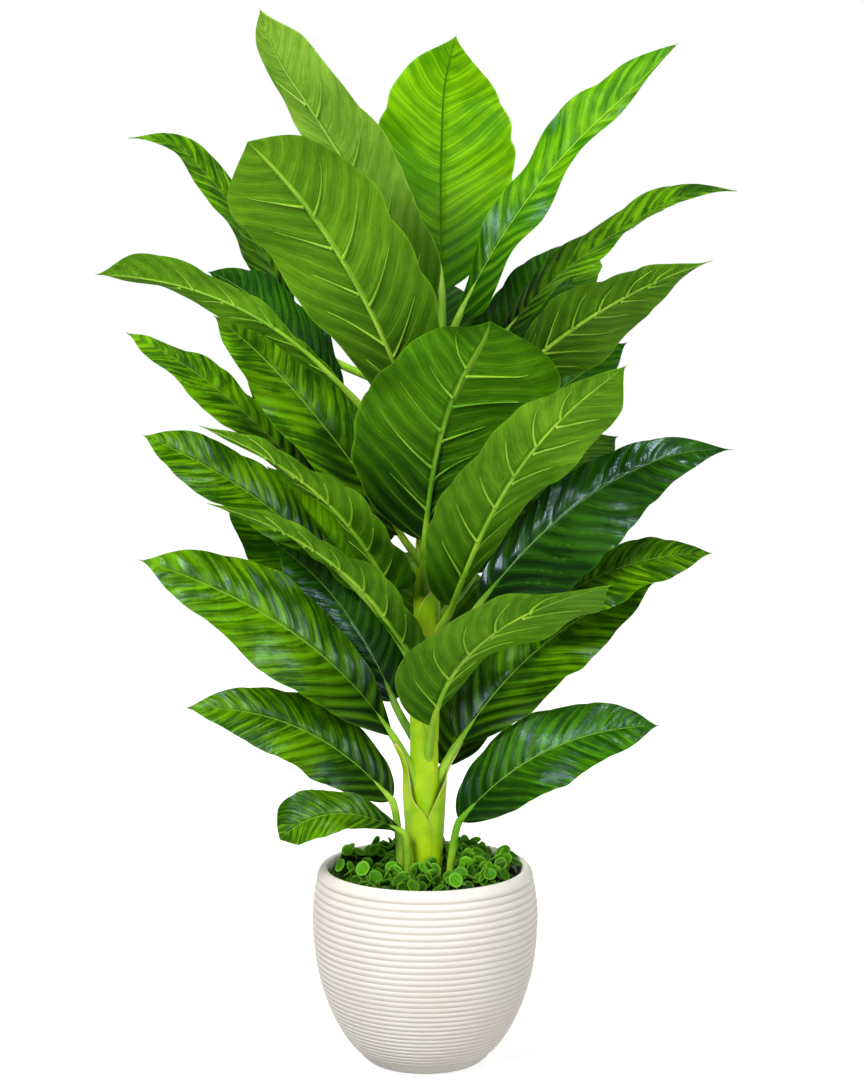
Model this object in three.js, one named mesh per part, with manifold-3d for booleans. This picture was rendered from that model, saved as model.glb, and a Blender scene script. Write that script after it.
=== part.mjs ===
// A potted dieffenbachia: a ribbed, bulb-shaped pot filled with soil, a stout cane wrapped in leaf sheaths,
// broad pointed leaves on stalks that rise from the cane, and a carpet of small round leaves over the soil.
// Millimetres, +Z up. The origin is the centre of the pot's underside and -Y is the front.
import * as THREE from "three";
import { mergeVertices } from "three/addons/utils/BufferGeometryUtils.js";
import Module from "manifold-3d";

const wasm = await Module();
wasm.setup();

// Clearance left between neighbouring pieces
const gap = 0.3;

// Pot: radius and height of the outer wall from foot to shoulder, then the ribs cut into it
const pot = {
  sides: 26,
  wall: [
    [60, 0], [66, 6], [80, 22], [91, 40], [102.5, 67], [111.5, 103], [115, 147], [113, 175], [110, 190],
  ],
  lip: [[106, 199], [103, 201], [100, 200], [98, 196]],
  inside: [[98, 168], [104, 145], [101, 105], [88, 55], [69, 22], [56, 12]],
  ribs: 31,
  firstRib: 12,
  lastRib: 190,
  ribDepth: 1.5,
  footPitch: 0.68,
};

// Soil: it fills the pot up to a shallow dome, with a plain hole for the cane and for each sucker stalk
const soil = { top: 178, caneHole: 16, stalkHole: 4.8, holeSides: 12, pegDepth: 24 };

// Ground cover: a thin mat with small cupped leaves growing out of it
const cover = {
  radius: 97, centreHeight: 190, edgeHeight: 186, leaves: 62, sides: 6, smallest: 8, largest: 11, seed: 41,
};

// Cane: the line it follows, its radius, and the sheaths that wrap it
const cane = {
  sides: 12,
  foot: 120,
  top: 722,
  line: [[0, 0, 120], [0, 0, 300], [1, 0, 480], [9, 2, 610], [19, 5, 722]],
  footRadius: 15,
  topRadius: 8,
  // height of the foot, length, direction of the high side, and how far the rim stands off the cane
  sheaths: [
    [187, 106, 195, 7],
    [190, 122, 345, 7],
    [247, 130, 200, 3],
    [330, 96, 20, 3],
    [388, 96, 300, 3],
    [452, 90, 160, 3],
    [520, 90, 40, 3],
    [590, 84, 250, 3],
  ],
};

// Leaf: how every blade and stalk is made
const leafForm = {
  across: [-1, -0.5, 0, 0.5, 1],
  along: [0.03, 0.13, 0.27, 0.42, 0.57, 0.72, 0.85, 0.94, 1],
  longStalk: 110,
  thickness: 1.1,
  keel: 3,
  neckRadius: 3.8,
  tailStart: 0.96,
  cusp: 0.12,
  tailHalfWidth: 1,
  hookStart: 0.78,
};

// Leaves. root: height where the stalk leaves the cane, or its place in the soil. base, crest, tip: points
// on the midrib. sway: how far the stalk leans away before it meets the blade. hook: how far the midrib's last
// stretch bends aside. face: the way the upper side looks. swell and taper: how slowly the blade widens from
// its foot and narrows to its tip. lean: how much wider one half is, and skew: how that changes from foot to
// tip. fold lifts both halves, curl turns the margins down, wave ruffles them and phase shifts the ruffles
// along the blade.
const leafDefaults = {
  stalk: 5.5, sway: 0.35, hook: [0, 0, 0], swell: 0.56, taper: 0.74, lean: 0, skew: 0, fold: 0.15, curl: 0.1,
  wave: 4, waves: 16, phase: 0,
};

const leaves = [
  {
    name: "leaf_top_left", stalk: 5, root: 640, width: 76, swell: 0.4, taper: 0.35, lean: -0.35, skew: 0.3,
    wave: 5,
    base: [0, -18, 771], crest: [-80, -45, 913], tip: [-168, -75, 1042], hook: [12, 0, 10], face: [6, 8, 1],
  },
  {
    name: "leaf_top_centre", stalk: 5, root: 680, width: 142, swell: 0.62, taper: 0.55, lean: 0.05, wave: 5,
    phase: 2,
    base: [17, 42, 782], crest: [16, 82, 903], tip: [21, 86, 1023], hook: [11, -14, 16], face: [0, -10, 1],
  },
  {
    name: "leaf_top_right", stalk: 5, root: 675, width: 54, swell: 0.25, taper: 0.3, lean: -0.15, skew: -1.4,
    fold: 0.2, wave: 7, phase: 3.2,
    base: [35, 4, 760], crest: [120, 18, 896], tip: [241, 38, 1006], hook: [11, 0, 22], face: [-6, -7, 2],
  },
  {
    name: "leaf_upper_left_front", root: 560, width: 136, swell: 0.55, taper: 0.35, lean: -0.04, skew: 0.3,
    fold: 0.1, wave: 6, phase: 3,
    base: [0, -36, 640], crest: [-74, -112, 809], tip: [-164, -160, 925], face: [3, 8, 2],
  },
  {
    name: "leaf_upper_left_arch", root: 622, width: 72, swell: 0.7, taper: 0.95, lean: -0.1, skew: 0.4,
    fold: 0.2,
    base: [-138, 106, 754], crest: [-193, 104, 861], tip: [-287, 86, 959], hook: [-16, 0, -24],
    face: [5, -4, 5],
  },
  {
    name: "leaf_left_long", root: 545, width: 52, swell: 1.1, taper: 0.65, lean: 0.3, skew: -2, fold: 0.3,
    phase: 1,
    base: [-68, -18, 675], crest: [-178, -55, 768], tip: [-315, -88, 801], face: [2, 6, 6],
  },
  {
    name: "leaf_left_dark", root: 485, width: 100, fold: 0.2, phase: 2,
    base: [-24, -14, 541], crest: [-118, -6, 671], tip: [-210, 0, 759], face: [4, -6, 4],
  },
  {
    name: "leaf_left_third", root: 435, width: 64, lean: -0.25, fold: 0.2, phase: 3,
    base: [-115, 8, 592], crest: [-204, 20, 681], tip: [-300, 25, 741], face: [3, -4, 5],
  },
  {
    name: "leaf_left_fourth", root: 342, width: 66, swell: 0.7, taper: 0.6, lean: 0,
    base: [-96, 5, 513], crest: [-182, 5, 585], tip: [-282, 0, 640], face: [2, -7, 5],
  },
  {
    name: "leaf_left_narrow_upper", root: 410, width: 72, swell: 0.3, taper: 0.8, lean: -0.08, skew: 0.3,
    fold: 0.25, phase: 1,
    base: [-34, -20, 486], crest: [-103, -80, 590], tip: [-215, -115, 659], face: [5, 5, 6],
  },
  {
    name: "leaf_left_narrow_lower", root: 340, width: 72, swell: 0.35, lean: 0, skew: 0.6, fold: 0.25,
    phase: 2,
    base: [-13, -24, 421], crest: [-92, -75, 524], tip: [-210, -100, 583], face: [5, 4, 6],
  },
  {
    name: "leaf_left_fifth", stalk: 8, root: 226, width: 96, swell: 0.9, taper: 0.75, lean: -0.12, skew: 0.6,
    wave: 5, phase: 3,
    base: [-32, -12, 336], crest: [-134, -14, 444], tip: [-287, -16, 517], face: [3, -7, 4],
  },
  {
    name: "leaf_left_lowest", stalk: 4, sway: 0.1, root: [-25, -6, 182], width: 80, swell: 0.62, taper: 0.85,
    lean: -0.05,
    base: [-34, -8, 270], crest: [-127, -12, 345], tip: [-243, -15, 366], face: [2, -7, 5],
  },
  {
    name: "leaf_left_small", stalk: 4, sway: 0.1, root: [-17, -25, 182], width: 54, swell: 0.9, taper: 0.3,
    lean: 0.1, fold: 0.2, wave: 3, phase: 1,
    base: [-22, -30, 242], crest: [-87, -50, 266], tip: [-143, -60, 244], hook: [-2, 0, -3],
    face: [0, -6, 5],
  },
  {
    name: "leaf_left_back_gloss", root: 290, width: 82, phase: 2,
    base: [-32, 16, 367], crest: [-84, 34, 460], tip: [-153, 46, 524], face: [2, -9, 2],
  },
  {
    name: "leaf_front_round", root: 440, width: 156, swell: 0.65, taper: 0.5, lean: 0.05, skew: -1.15,
    fold: 0.1, curl: 0.15, wave: 6,
    base: [0, -32, 537], crest: [24, -84, 670], tip: [70, -175, 759], hook: [-9, 0, 2], face: [1, 8, 3],
  },
  {
    name: "leaf_front_right", root: 402, width: 96, swell: 0.6, taper: 0.55, lean: 0.05, skew: -1.1, wave: 5,
    phase: 2,
    base: [27, -26, 471], crest: [88, -135, 618], tip: [178, -190, 712], hook: [9, 0, 9], face: [-3, 8, 3],
  },
  {
    name: "leaf_right_glossy", root: 366, width: 100, swell: 0.5, taper: 0.9, lean: 0.3, skew: -0.4,
    phase: 1,
    base: [55, 5, 468], crest: [166, 15, 578], tip: [297, 10, 631], hook: [14, 0, -7], face: [-2, -7, 4],
  },
  {
    name: "leaf_right_mid", root: 335, width: 74, lean: 0.15, phase: 3,
    base: [106, 0, 453], crest: [191, 5, 504], tip: [289, 0, 521], face: [0, -5, 6],
  },
  {
    name: "leaf_right_under", stalk: 8, root: 232, width: 104,
    base: [35, 8, 327], crest: [123, 40, 423], tip: [236, 55, 483], face: [-3, -6, 4],
  },
  {
    name: "leaf_front_low_right", stalk: 7, root: 250, width: 118, swell: 0.9, taper: 0.7, lean: -0.05,
    skew: -1.6, fold: 0.2, wave: 5, phase: 2,
    base: [7, -29, 350], crest: [57, -95, 449], tip: [179, -150, 511], face: [-3, 5, 5],
  },
  {
    name: "leaf_right_lowest", stalk: 4, sway: 0.1, root: [25, -13, 182], width: 84, swell: 0.62, phase: 1,
    base: [35, -14, 250], crest: [124, -15, 323], tip: [237, -15, 348], face: [-1, -7, 5],
  },
  {
    name: "leaf_right_arch", root: 620, width: 66, lean: -0.1, skew: -0.4, fold: 0.2, phase: 2,
    base: [80, 15, 740], crest: [165, 30, 822], tip: [308, 35, 904], hook: [5, 0, -23], face: [-4, -3, 6],
  },
  {
    name: "leaf_right_veined", root: 540, width: 116, swell: 0.85, taper: 1.5, lean: -0.2, skew: 0.4,
    base: [74, -14, 690], crest: [173, -45, 767], tip: [277, -70, 814], face: [-3, 6, 6],
  },
  {
    name: "leaf_right_dark", root: 500, width: 80, fold: 0.2, phase: 3,
    base: [45, 18, 623], crest: [127, 40, 677], tip: [205, 50, 730], face: [-3, -6, 4],
  },
  {
    name: "leaf_left_behind_long", root: 598, width: 74, fold: 0.2, phase: 2,
    base: [-86, 46, 672], crest: [-153, 47, 757], tip: [-219, 46, 801], face: [4, -5, 4],
  },
  {
    name: "leaf_left_wavy_back", root: 475, width: 74, fold: 0.2, wave: 6, phase: 0,
    base: [-76, 64, 552], crest: [-131, 92, 636], tip: [-187, 96, 700], face: [3, -6, 4],
  },
  {
    name: "leaf_left_back_low", root: 385, width: 84, phase: 1,
    base: [-70, 112, 440], crest: [-143, 112, 505], tip: [-208, 116, 563], face: [3, -6, 4],
  },
  {
    name: "leaf_left_bright_inner", root: 402, width: 54, fold: 0.2, phase: 2,
    base: [-54, 30, 474], crest: [-106, 34, 542], tip: [-161, 36, 606], face: [3, -6, 3],
  },
  {
    name: "leaf_right_back_high", root: 585, width: 84, phase: 3,
    base: [43, 44, 672], crest: [102, 95, 759], tip: [151, 120, 830], face: [-3, -6, 3],
  },
  {
    name: "leaf_back_left_high", root: 648, width: 110, wave: 5, phase: 1,
    base: [-20, 60, 740], crest: [-60, 120, 850], tip: [-120, 200, 930], face: [3, -6, 4],
  },
  {
    name: "leaf_back_right_high", root: 518, width: 110, wave: 5, phase: 0,
    base: [60, 100, 650], crest: [120, 175, 760], tip: [190, 240, 815], face: [-4, -6, 5],
  },
  {
    name: "leaf_back_centre", root: 576, width: 120, wave: 5, phase: 2,
    base: [10, 60, 620], crest: [10, 150, 730], tip: [0, 260, 790], face: [0, -6, 5],
  },
  {
    name: "leaf_back_left_middle", root: 440, width: 110, wave: 5, phase: 3,
    base: [-40, 90, 520], crest: [-110, 150, 600], tip: [-190, 230, 640], face: [3, -5, 6],
  },
  {
    name: "leaf_back_right_middle", root: 410, width: 116, wave: 5, phase: 1,
    base: [50, 70, 490], crest: [120, 150, 580], tip: [210, 220, 620], face: [-3, -5, 6],
  },
  {
    name: "leaf_back_low", root: 310, width: 100, wave: 5, phase: 0,
    base: [18, 64, 384], crest: [12, 150, 464], tip: [-12, 250, 494], face: [0, -5, 6],
  },
  {
    name: "leaf_back_lowest", root: 230, width: 92, phase: 2,
    base: [20, 60, 290], crest: [60, 130, 360], tip: [110, 210, 380], face: [-2, -5, 6],
  },
];

// Closed solid from a list of rings with the same number of points, each ring counter-clockwise seen
// from its far end. splits tells which diagonal divides the quads of each side.
function loftedSolid(rings, splits) {
  const count = rings[0].length;
  const positions = [];
  const triangles = [];
  rings.forEach((ring) => ring.forEach((p) => positions.push(p.x, p.y, p.z)));
  for (let i = 0; i < rings.length - 1; i++) {
    for (let j = 0; j < count; j++) {
      const next = (j + 1) % count;
      const a = i * count + j;
      const b = i * count + next;
      const c = a + count;
      const d = b + count;
      if (splits && splits[j]) {
        triangles.push(a, b, d, a, d, c);
      } else {
        triangles.push(a, b, c, b, d, c);
      }
    }
  }
  [0, rings.length - 1].forEach((end) => {
    const start = end * count;
    for (let j = 1; j < count - 1; j++) {
      if (end === 0) {
        triangles.push(start, start + j + 1, start + j);
      } else {
        triangles.push(start, start + j, start + j + 1);
      }
    }
  });
  return solidFrom(positions, triangles);
}

function solidFrom(positions, triangles) {
  const vertProperties = new Float32Array(positions);
  const triVerts = new Uint32Array(triangles);
  return new wasm.Manifold(new wasm.Mesh({ numProp: 3, vertProperties, triVerts }));
}

function vec(p) {
  return new THREE.Vector3(p[0], p[1], p[2]);
}

// Random numbers between 0 and 1, the same ones at every build
function seededRandom(seed) {
  let state = seed;
  return () => {
    state = (state * 16807) % 2147483647;
    return state / 2147483647;
  };
}

// Cane: a point on its centre line at a given height, and a radius that tapers with height
function caneCentre(z) {
  const line = cane.line;
  let i = 0;
  while (i < line.length - 2 && z > line[i + 1][2]) {
    i++;
  }
  const t = (z - line[i][2]) / (line[i + 1][2] - line[i][2]);
  return vec(line[i]).lerp(vec(line[i + 1]), t).setZ(z);
}

function caneRadius(z) {
  const t = THREE.MathUtils.clamp((z - soil.top) / (cane.top - soil.top), 0, 1);
  return THREE.MathUtils.lerp(cane.footRadius, cane.topRadius, t);
}

function caneRing(z, radius, slope, direction) {
  const centre = caneCentre(z);
  const ring = [];
  for (let j = 0; j < cane.sides; j++) {
    const angle = (j / cane.sides) * 2 * Math.PI;
    const rise = slope * radius * Math.cos(angle - THREE.MathUtils.degToRad(direction));
    ring.push(new THREE.Vector3(
      centre.x + radius * Math.cos(angle),
      centre.y + radius * Math.sin(angle),
      z + rise,
    ));
  }
  return ring;
}

// The cane with all its sheaths, grown outwards by extra
function caneSolid(extra) {
  const heights = cane.line.map((p) => p[2]);
  const core = loftedSolid(heights.map((z, i) => {
    const end = i === 0 ? -extra : i === heights.length - 1 ? extra : 0;
    return caneRing(z + end, caneRadius(z) + extra, 0, 0);
  }));
  const sheaths = cane.sheaths.map(([z, length, direction, standOff]) => {
    const foot = caneRadius(z);
    const rim = caneRadius(z + length) + standOff;
    const slope = (0.4 * length) / rim;
    return loftedSolid([
      caneRing(z - extra, foot - 1 + extra, 0, 0),
      caneRing(z + 0.6 * length + extra * Math.hypot(1, slope), rim + extra, slope, direction),
    ]);
  });
  return wasm.Manifold.union([core, ...sheaths]);
}

// Midrib: an arch from the base over the crest to the tip, whose last stretch bends aside by the hook
class Midrib extends THREE.Curve {
  constructor(leaf) {
    super();
    const base = vec(leaf.base);
    const tip = vec(leaf.tip);
    const control = vec(leaf.crest).multiplyScalar(2).addScaledVector(base, -0.5).addScaledVector(tip, -0.5);
    this.arch = new THREE.QuadraticBezierCurve3(base, control, tip);
    this.hook = vec(leaf.hook);
  }

  getPoint(s, target = new THREE.Vector3()) {
    const bend = Math.max(0, (s - leafForm.hookStart) / (1 - leafForm.hookStart));
    return target.copy(this.arch.getPoint(s)).addScaledVector(this.hook, bend * bend);
  }
}

// Share of the blade's full half width at s, from 0 at its foot to 1 at its tip
function bladeOutline(leaf, s) {
  const shape = (t) => Math.pow(t, leaf.swell) * Math.pow(1 - t, leaf.taper);
  const widest = leaf.swell / (leaf.swell + leaf.taper);
  const cusp = Math.min(1, (1 - s) / leafForm.cusp);
  return cusp * (2 - cusp) * shape(Math.min(s / leafForm.tailStart, 1)) / shape(widest);
}

// Directions across a leaf and out of its upper side, square to its midrib
function leafFrame(tangent, face) {
  const normal = face.clone().addScaledVector(tangent, -face.dot(tangent)).normalize();
  const side = tangent.clone().cross(normal).normalize();
  return { normal, side };
}

// Ten points round the stalk, in the same order as those of a blade ring
function stalkRing(centre, frame, radius) {
  const ring = [];
  for (let j = 0; j < 10; j++) {
    const angle = THREE.MathUtils.degToRad(162 - 36 * j);
    ring.push(centre.clone()
      .addScaledVector(frame.side, radius * Math.cos(angle))
      .addScaledVector(frame.normal, radius * Math.sin(angle)));
  }
  return ring;
}

function bladeRing(leaf, midrib, face, s) {
  const centre = midrib.getPoint(s);
  const frame = leafFrame(midrib.getTangent(s), face);
  const outline = bladeOutline(leaf, s);
  const half = Math.max((leaf.width / 2) * outline, leafForm.tailHalfWidth);
  const top = leafForm.across.map((v) => {
    const ruffle = Math.sin(s * leaf.waves + leaf.phase + (v > 0 ? 1.3 : 0));
    const reach = half * Math.max(0.1, 1 + (leaf.lean + leaf.skew * (s - 0.5)) * Math.sign(v));
    const lift = reach * (leaf.fold * Math.abs(v) - leaf.curl * v * v)
      + leaf.wave * v * v * ruffle * outline;
    return centre.clone().addScaledVector(frame.side, reach * v).addScaledVector(frame.normal, lift);
  });
  const bottom = top.map((point, k) => {
    const keel = leafForm.across[k] === 0 ? leafForm.keel * (1 - s) : 0;
    return point.clone().addScaledVector(frame.normal, -leafForm.thickness - keel);
  });
  return [...top, ...bottom.reverse()];
}

// One leaf, blade and stalk in one. grow thickens the stalk, for the hollows it needs in other pieces
function leafSolid(leaf, grow = 0) {
  const midrib = new Midrib(leaf);
  const base = midrib.getPoint(0);
  const inSoil = Array.isArray(leaf.root);
  const root = inSoil ? vec(leaf.root) : caneCentre(leaf.root);
  const reach = root.distanceTo(base);
  const rise = new THREE.Vector3(0, 0, reach * 0.4).add(root);
  const arrive = base.clone().addScaledVector(midrib.getTangent(0), -reach * leaf.sway);
  const stalk = new THREE.CubicBezierCurve3(root, rise, arrive, base);
  const face = vec(leaf.face).normalize();
  const rings = [];
  if (inSoil) {
    const up = new THREE.Vector3(0, 0, 1);
    const pegFoot = root.clone().addScaledVector(up, -soil.pegDepth);
    rings.push(stalkRing(pegFoot, leafFrame(up, face), leaf.stalk + grow));
  }
  const steps = reach > leafForm.longStalk ? 3 : 2;
  for (let i = 0; i < steps; i++) {
    const t = i / steps;
    const frame = leafFrame(stalk.getTangent(t), face);
    const radius = THREE.MathUtils.lerp(leaf.stalk, leafForm.neckRadius, t) + grow;
    rings.push(stalkRing(stalk.getPoint(t), frame, radius));
  }
  leafForm.along.forEach((s) => rings.push(bladeRing(leaf, midrib, face, s)));
  const splits = Array.from({ length: 10 }, (_, j) => j < 5);
  return loftedSolid(rings, splits);
}

function meshFrom(solid, name, colour, roughness) {
  const { vertProperties, triVerts } = solid.getMesh();
  const geometry = new THREE.BufferGeometry();
  geometry.setAttribute("position", new THREE.BufferAttribute(new Float32Array(vertProperties), 3));
  geometry.setIndex(new THREE.BufferAttribute(new Uint32Array(triVerts), 1));
  const flat = geometry.toNonIndexed();
  flat.computeVertexNormals();
  const material = new THREE.MeshStandardMaterial({ color: colour, roughness, metalness: 0 });
  const mesh = new THREE.Mesh(flat, material);
  mesh.name = name;
  return mesh;
}

// Lathe solid from a closed profile of [radius, height] points that starts and ends on the axis
function turnedSolid(profile, sides) {
  const points = profile.map(([r, z]) => new THREE.Vector2(r, z));
  const geometry = new THREE.LatheGeometry(points, sides);
  geometry.rotateX(Math.PI / 2);
  geometry.deleteAttribute("normal");
  geometry.deleteAttribute("uv");
  const merged = mergeVertices(geometry, 1e-3);
  return solidFrom(merged.attributes.position.array, merged.index.array);
}

// Pot wall radius at a height, and the ribbed outline made from it
function wallRadius(z) {
  const wall = pot.wall;
  let i = 0;
  while (i < wall.length - 2 && z > wall[i + 1][1]) {
    i++;
  }
  return THREE.MathUtils.mapLinear(z, wall[i][1], wall[i + 1][1], wall[i][0], wall[i + 1][0]);
}

function ribbedOutline() {
  const outline = [[0, 0], pot.wall[0], [wallRadius(5), 5]];
  let z = pot.firstRib;
  const full = (pot.lastRib - pot.firstRib) / pot.ribs;
  for (let i = 0; i <= pot.ribs; i++) {
    const t = i / pot.ribs;
    const pitch = full * (pot.footPitch + 2 * (1 - pot.footPitch) * t);
    outline.push([wallRadius(z) - pot.ribDepth, z]);
    if (i < pot.ribs) {
      outline.push([wallRadius(z + pitch / 2), z + pitch / 2]);
    }
    z += pitch;
  }
  return outline;
}

// The largest body of a cut solid, without the slivers a cut leaves
function outerBody(solid) {
  const bodies = solid.asOriginal().simplify(0.03).decompose();
  return bodies.reduce((most, body) => (body.volume() > most.volume() ? body : most));
}

const grownCane = caneSolid(gap);
const allLeaves = leaves.map((leaf) => ({ ...leafDefaults, ...leaf }));
const suckers = allLeaves.filter((leaf) => Array.isArray(leaf.root));

function potSolid() {
  return turnedSolid([...ribbedOutline(), ...pot.lip, ...pot.inside, [0, 12]], pot.sides);
}

// Soil fills the pot, with a plain hole for the cane and one for each sucker stalk
function soilSolid() {
  const inner = pot.inside.map(([r, z]) => [r - gap, z]).reverse();
  inner[0][1] += gap;
  const body = turnedSolid([[0, inner[0][1]], ...inner, [98 - gap, soil.top], [0, soil.top]], pot.sides);
  const holes = [pegHole([0, 0, cane.foot - gap], soil.caneHole)];
  for (const { root: [x, y, z] } of suckers) {
    holes.push(pegHole([x, y, z - soil.pegDepth - gap], soil.stalkHole));
  }
  return body.subtract(wasm.Manifold.union(holes));
}

// A plain round hole from its foot up to above the soil
function pegHole([x, y, foot], radius) {
  const rings = [foot, soil.top + 10].map((z) => {
    const ring = [];
    for (let j = 0; j < soil.holeSides; j++) {
      const angle = (j / soil.holeSides) * 2 * Math.PI;
      ring.push(new THREE.Vector3(x + radius * Math.cos(angle), y + radius * Math.sin(angle), z));
    }
    return ring;
  });
  return loftedSolid(rings);
}

// One small cupped leaf: a hexagonal rim tilted at random over a pointed root that ends in the mat
function coverLeaf(x, y, radius, random) {
  const spread = Math.hypot(x, y) / cover.radius;
  const ground = THREE.MathUtils.lerp(cover.centreHeight, cover.edgeHeight, spread);
  const centre = new THREE.Vector3(x, y, ground + 2 + 9 * random());
  const up = new THREE.Vector3(random() - 0.5, random() - 0.5, 0.8).normalize();
  const turn = new THREE.Quaternion().setFromUnitVectors(new THREE.Vector3(0, 0, 1), up);
  const positions = [x, y, soil.top + 2];
  const dip = centre.clone().addScaledVector(up, -0.2 * radius);
  positions.push(dip.x, dip.y, dip.z);
  const triangles = [];
  for (let j = 0; j < cover.sides; j++) {
    const angle = (j / cover.sides) * 2 * Math.PI;
    const rim = new THREE.Vector3(radius * Math.cos(angle), radius * Math.sin(angle), 0);
    rim.applyQuaternion(turn).add(centre);
    positions.push(rim.x, rim.y, rim.z);
    const here = j + 2;
    const next = ((j + 1) % cover.sides) + 2;
    triangles.push(1, here, next, 0, next, here);
  }
  return solidFrom(positions, triangles);
}

function coverSolid() {
  const mat = turnedSolid([
    [0, soil.top + gap],
    [cover.radius - 1, soil.top + gap],
    [cover.radius, cover.edgeHeight],
    [cover.radius / 2, cover.centreHeight - 1],
    [0, cover.centreHeight],
  ], pot.sides);
  const random = seededRandom(cover.seed);
  const pieces = [mat];
  for (let i = 0; i < cover.leaves; i++) {
    const radius = THREE.MathUtils.lerp(cover.smallest, cover.largest, random());
    const distance = (cover.radius - radius - 1) * Math.sqrt((i + 0.5) / cover.leaves);
    const angle = 2.4 * i + 0.3 * random();
    pieces.push(coverLeaf(distance * Math.cos(angle), distance * Math.sin(angle), radius, random));
  }
  const hollows = [grownCane, ...suckers.map((leaf) => leafSolid(leaf, gap))];
  return outerBody(wasm.Manifold.union(pieces).subtract(wasm.Manifold.union(hollows)));
}

const part = new THREE.Group();
part.add(meshFrom(potSolid(), "pot", 0xefece5, 0.5));
part.add(meshFrom(soilSolid(), "soil", 0x3b2a1e, 0.95));
part.add(meshFrom(coverSolid(), "ground_cover", 0x4f8f2a, 0.4));
part.add(meshFrom(outerBody(caneSolid(0)), "cane", 0x8fb52a, 0.5));
for (const leaf of allLeaves) {
  const solid = outerBody(leafSolid(leaf).subtract(grownCane));
  part.add(meshFrom(solid, leaf.name, 0x3f7a1c, 0.35));
}

export default part;
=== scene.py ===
# Potted dieffenbachia: pointed leaves on a sheathed cane, in a ribbed pot with a carpet of small leaves
import functools
import math
import random
import bmesh
import bpy
from mathutils import Matrix, Vector, noise


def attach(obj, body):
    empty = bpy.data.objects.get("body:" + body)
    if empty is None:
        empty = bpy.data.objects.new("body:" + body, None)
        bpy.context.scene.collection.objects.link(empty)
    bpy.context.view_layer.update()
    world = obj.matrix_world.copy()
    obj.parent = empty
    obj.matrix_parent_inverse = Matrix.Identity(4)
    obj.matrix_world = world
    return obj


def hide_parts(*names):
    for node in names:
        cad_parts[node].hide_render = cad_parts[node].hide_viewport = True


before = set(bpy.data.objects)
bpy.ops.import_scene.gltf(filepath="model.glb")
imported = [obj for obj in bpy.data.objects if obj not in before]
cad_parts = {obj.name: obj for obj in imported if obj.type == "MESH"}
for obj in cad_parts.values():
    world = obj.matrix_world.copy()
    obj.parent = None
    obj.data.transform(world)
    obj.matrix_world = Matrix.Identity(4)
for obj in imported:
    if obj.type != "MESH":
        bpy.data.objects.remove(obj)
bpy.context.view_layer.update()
mm = 0.001
print("frame loaded:", len(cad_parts), "nodes")


def linear(hexColour):
    channels = [int(hexColour[i:i + 2], 16) / 255 for i in (1, 3, 5)]
    return [c / 12.92 if c <= 0.04045 else ((c + 0.055) / 1.055) ** 2.4 for c in channels] + [1.0]


# an input is a hex colour, a plain value, or another node's output to link to
def addNode(tree, kind, inputs=None, **settings):
    node = tree.nodes.new(kind)
    for key, value in settings.items():
        setattr(node, key, value)
    for key, value in (inputs or {}).items():
        if isinstance(value, bpy.types.NodeSocket):
            tree.links.new(value, node.inputs[key])
        else:
            node.inputs[key].default_value = linear(value) if isinstance(value, str) else value
    return node


def newMaterial(name):
    material = bpy.data.materials.new(name)
    material.use_nodes = True
    material.node_tree.nodes.clear()
    return material, material.node_tree


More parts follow.
